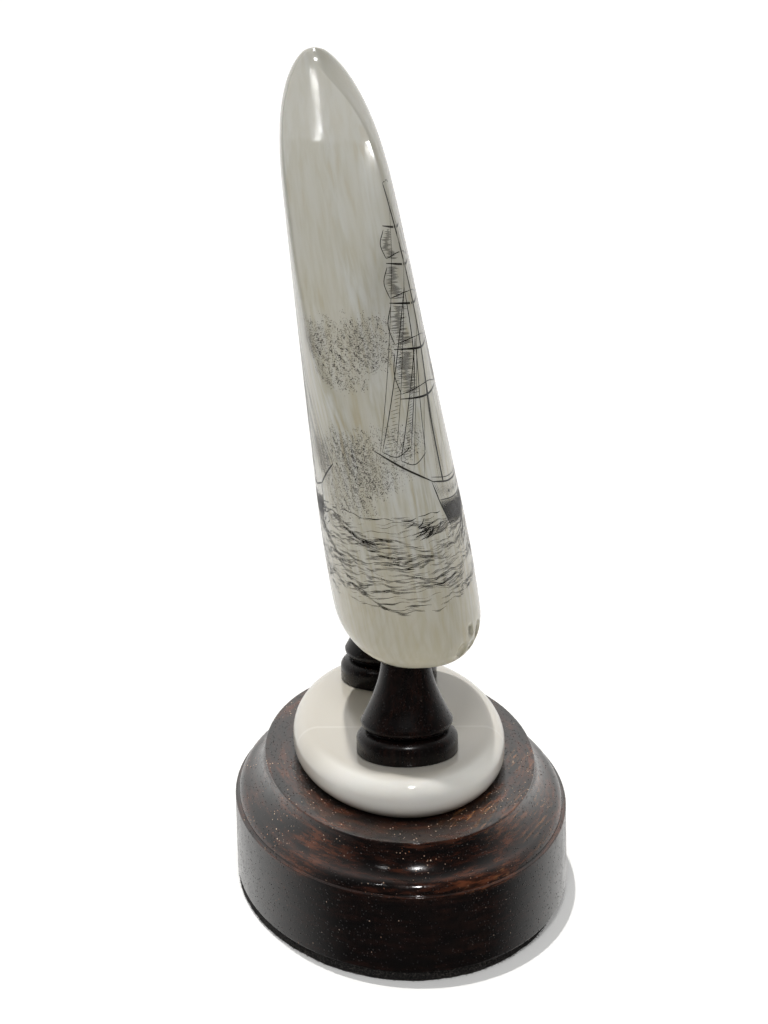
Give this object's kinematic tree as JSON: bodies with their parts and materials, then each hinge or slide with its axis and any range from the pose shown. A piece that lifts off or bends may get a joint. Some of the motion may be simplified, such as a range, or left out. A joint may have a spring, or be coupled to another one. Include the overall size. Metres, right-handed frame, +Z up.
{
  "type": "scrimshaw whale tooth on stand",
  "caption": "Engraved whale tooth standing butt down on turned pillars over an oval ivory plate and a moulded oval dark wood base with felt underneath.",
  "frame": {"origin": "middle of the felt's underside, the face it stands on", "axes": "+Z up, Y along the oval base with the tooth's narrow front edge towards -Y, X across the tooth's thickness"},
  "size_m": [0.0804, 0.1372, 0.2018],
  "materials": {
    "felt": "fuzzy black felt",
    "rosewood": "high gloss polished dark rosewood",
    "plate_ivory": "polished ivory",
    "pillar_rosewood": "satin polished dark rosewood",
    "tooth_ivory": "polished whale ivory with black engraving"
  },
  "bodies": {
    "root": {"felt_pad": "felt", "wood_base": "rosewood", "ivory_plate": "plate_ivory", "front_pillar": "pillar_rosewood", "rear_pillar": "pillar_rosewood", "tooth": "tooth_ivory"}
  },
  "joints": []
}
